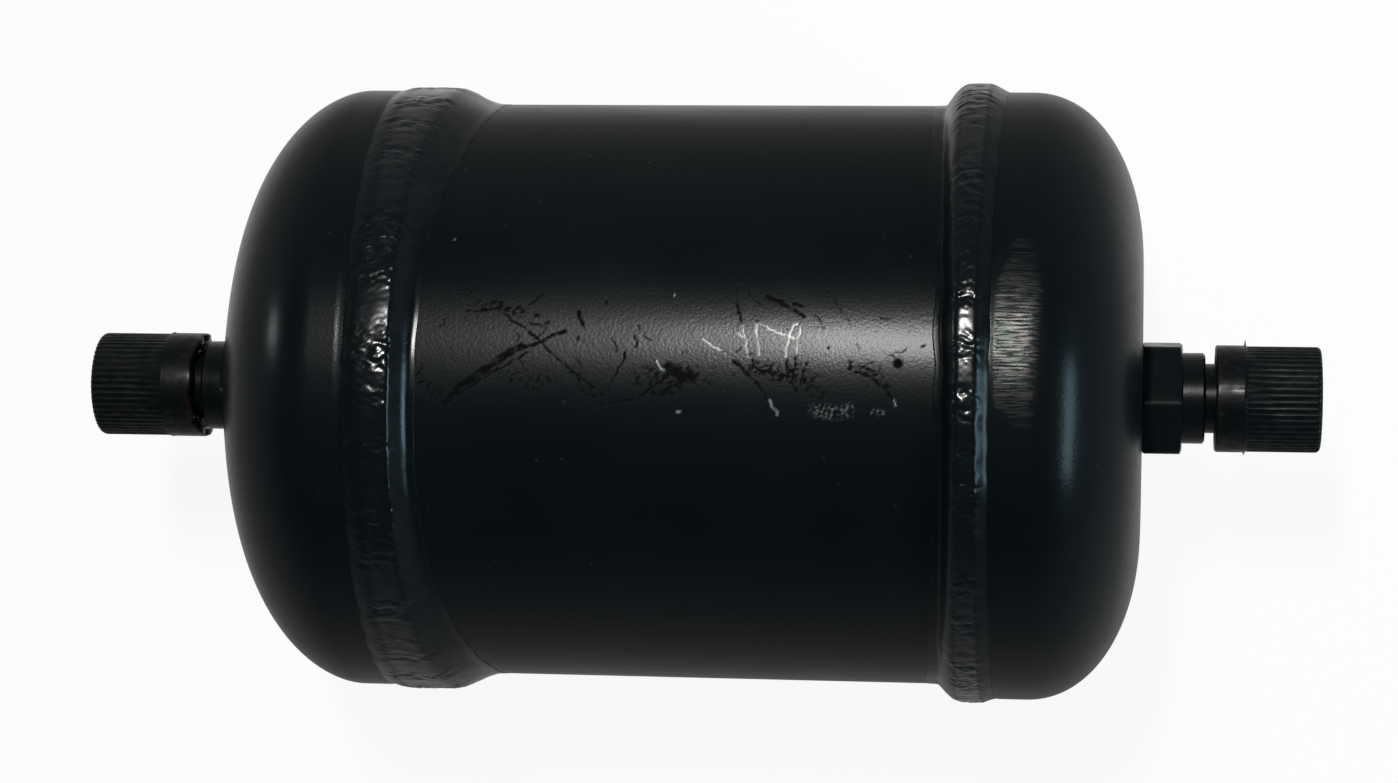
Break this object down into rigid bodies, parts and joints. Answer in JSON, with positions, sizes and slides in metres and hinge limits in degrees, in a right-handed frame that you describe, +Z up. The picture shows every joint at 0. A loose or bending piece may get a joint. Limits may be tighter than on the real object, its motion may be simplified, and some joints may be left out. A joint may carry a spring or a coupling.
{
  "type": "filter drier",
  "caption": "Black painted steel liquid-line filter drier: welded shell with domed ends, flare fittings and ribbed screw-on plastic caps.",
  "frame": {"origin": "centre of the shell, on its axis", "axes": "+X along the axis from the inlet to the outlet; +Z up as the drier lies level, with one corner of each hexagon on top"},
  "size_m": [0.1634, 0.0826, 0.0826],
  "materials": {
    "shell_paint": "satin",
    "bead_paint": "satin",
    "fitting_paint": "satin",
    "cap_plastic": "matte",
    "seal_rubber": "matte",
    "braze_metal": "satin",
    "bare_steel": "satin",
    "spring_steel": "satin",
    "wire_cloth": "matte",
    "felt": "matte",
    "desiccant_block": "matte"
  },
  "bodies": {
    "shell": {"shell_tube": "shell_paint", "inlet_end_cup": "shell_paint", "inlet_weld_bead": "bead_paint", "inlet_flare_fitting": "fitting_paint", "inlet_braze_ring": "braze_metal", "outlet_end_cup": "shell_paint", "outlet_weld_bead": "bead_paint", "outlet_flare_fitting": "fitting_paint", "outlet_braze_ring": "braze_metal", "perforated_plate": "bare_steel", "outlet_screen": "wire_cloth", "outlet_mat": "felt", "core_gasket": "felt", "desiccant_core": "desiccant_block", "spring_follower": "bare_steel", "core_spring": "spring_steel"},
    "inlet_seal": {"inlet_cap_seal": "seal_rubber"},
    "inlet_cap": {"inlet_thread_cap": "cap_plastic"},
    "outlet_seal": {"outlet_cap_seal": "seal_rubber"},
    "outlet_cap": {"outlet_thread_cap": "cap_plastic"}
  },
  "joints": [
    {"name": "inlet_cap_lift", "type": "slide", "parent": "shell", "child": "inlet_seal", "axis": [-1, 0, 0], "range_m": [0, 0.0127]},
    {"name": "inlet_cap_turn", "type": "hinge", "parent": "inlet_seal", "child": "inlet_cap", "pos_m": [-0.0749, 0, 0], "axis": [-1, 0, 0], "range_deg": [0, 3600]},
    {"name": "outlet_cap_lift", "type": "slide", "parent": "shell", "child": "outlet_seal", "axis": [1, 0, 0], "range_m": [0, 0.0127]},
    {"name": "outlet_cap_turn", "type": "hinge", "parent": "outlet_seal", "child": "outlet_cap", "pos_m": [0.0749, 0, 0], "axis": [1, 0, 0], "range_deg": [0, 3600]}
  ],
  "couplings": [
    {"joint": "inlet_cap_turn", "follows": "inlet_cap_lift", "rad_per_m": 4947.3},
    {"joint": "outlet_cap_turn", "follows": "outlet_cap_lift", "rad_per_m": 4947.3}
  ]
}
